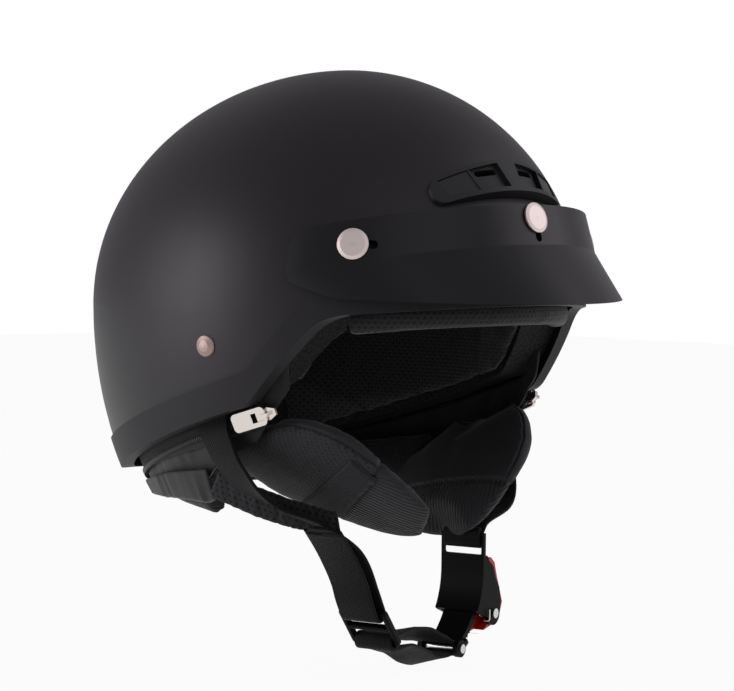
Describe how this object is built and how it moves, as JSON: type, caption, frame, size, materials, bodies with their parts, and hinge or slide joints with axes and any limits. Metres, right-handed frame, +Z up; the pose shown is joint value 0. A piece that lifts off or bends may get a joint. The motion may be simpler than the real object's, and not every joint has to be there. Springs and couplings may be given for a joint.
{
  "type": "half shell motorcycle helmet",
  "caption": "Open half shell helmet with press-stud visor, brow vent, padded ear pads, zipped neck curtain and ratchet chin strap.",
  "frame": {"origin": "middle of the head, at the level where the shell is widest", "axes": "+Z up, face towards -Y, the wearer's left at +X"},
  "size_m": [0.2352, 0.3087, 0.3091],
  "materials": {
    "shell": "satin matt black paint on the moulded shell",
    "trim": "matt black moulded edge trim",
    "foam": "black foam liner; matte plastic stands in for the foam",
    "lining": "black knitted comfort lining",
    "padding": "black cloth over foam",
    "vent": "satin black plastic",
    "visor": "satin black plastic",
    "snap_metal": "nickel-plated press stud",
    "snap_inner": "nickel-plated press stud socket",
    "rivet_metal": "plated rivet",
    "anchor": "black steel plate",
    "cloth": "black coated cloth",
    "zip": "black zip teeth on tape",
    "zip_metal": "nickel-plated slider and pull",
    "band": "black ribbed elastic",
    "webbing": "black woven webbing",
    "hard_plastic": "black moulded plastic",
    "pin_metal": "plated steel pin",
    "red_plastic": "red moulded plastic",
    "spring_steel": "spring wire"
  },
  "bodies": {
    "helmet": {"outer_shell": "shell", "edge_trim": "trim", "impact_liner": "foam", "crown_pad": "lining", "temple_pad_left": "lining", "temple_pad_right": "lining", "brow_pad": "padding", "nape_pad": "padding", "vent_housing": "vent", "snap_studs": "snap_metal", "strap_rivets": "rivet_metal", "anchor_plates": "anchor", "neck_curtain": "cloth", "neck_cuff": "cloth", "zip_chain": "zip", "ear_pad_left": "padding", "ear_pad_right": "padding", "ear_band_left": "band", "ear_band_right": "band", "strap_left": "webbing", "strap_right": "webbing", "ladder_lock": "hard_plastic", "chin_webbing": "webbing", "buckle_body": "hard_plastic", "lever_pin": "pin_metal", "lever_spring": "spring_steel"},
    "visor": {"visor": "visor", "visor_snap_caps": "snap_metal", "visor_snap_sockets": "snap_inner"},
    "vent_slider_left": {"vent_slider_left": "vent"},
    "vent_slider_right": {"vent_slider_right": "vent"},
    "zip_slider_left": {"zip_slider_left": "zip_metal"},
    "zip_slider_right": {"zip_slider_right": "zip_metal"},
    "zip_pull_left": {"zip_pull_left": "zip_metal"},
    "zip_pull_right": {"zip_pull_right": "zip_metal"},
    "buckle_lever": {"buckle_lever": "red_plastic"},
    "ratchet_tongue": {"ratchet_tongue": "hard_plastic", "end_pin": "pin_metal"}
  },
  "joints": [
    {"name": "visor_pull_off", "type": "slide", "parent": "helmet", "child": "visor", "axis": [0, -1, 0], "range_m": [0, 0.045]},
    {"name": "vent_slide_left", "type": "hinge", "parent": "helmet", "child": "vent_slider_left", "pos_m": [0, -0.04606, 0.02274], "axis": [0, -0.5592, -0.829], "range_deg": [0, 12.5]},
    {"name": "vent_slide_right", "type": "hinge", "parent": "helmet", "child": "vent_slider_right", "pos_m": [0, -0.04606, 0.02274], "axis": [0, 0.5592, 0.829], "range_deg": [0, 12.5]},
    {"name": "zip_run_left", "type": "hinge", "parent": "helmet", "child": "zip_slider_left", "pos_m": [-0.02047, -0.0093, -0.05956], "axis": [0, 0.2998, 0.954], "range_deg": [0, 1.7]},
    {"name": "zip_run_right", "type": "hinge", "parent": "helmet", "child": "zip_slider_right", "pos_m": [0.02047, -0.0093, -0.05956], "axis": [0, -0.2998, -0.954], "range_deg": [0, 1.7]},
    {"name": "zip_pull_swing_left", "type": "hinge", "parent": "zip_slider_left", "child": "zip_pull_left", "pos_m": [0.09995, -0.04237, -0.04949], "axis": [-0.2763, -0.2252, -0.9343], "range_deg": [0, 150]},
    {"name": "zip_pull_swing_right", "type": "hinge", "parent": "zip_slider_right", "child": "zip_pull_right", "pos_m": [-0.09995, -0.04237, -0.04949], "axis": [-0.2763, 0.2252, 0.9343], "range_deg": [0, 150]},
    {"name": "lever_swing", "type": "hinge", "parent": "helmet", "child": "buckle_lever", "pos_m": [0.06642, -0.02988, -0.1632], "axis": [-0.2079, 0.9781, 0], "range_deg": [0, 12], "stiffness_Nm_per_rad": 0.3, "springref_deg": -5.73},
    {"name": "strap_release", "type": "hinge", "parent": "helmet", "child": "ratchet_tongue", "pos_m": [0.01604, -0.04059, -0.1391], "axis": [-0.2079, 0.9781, 0], "range_deg": [0, 37], "deforming": ["chin_webbing"]}
  ]
}
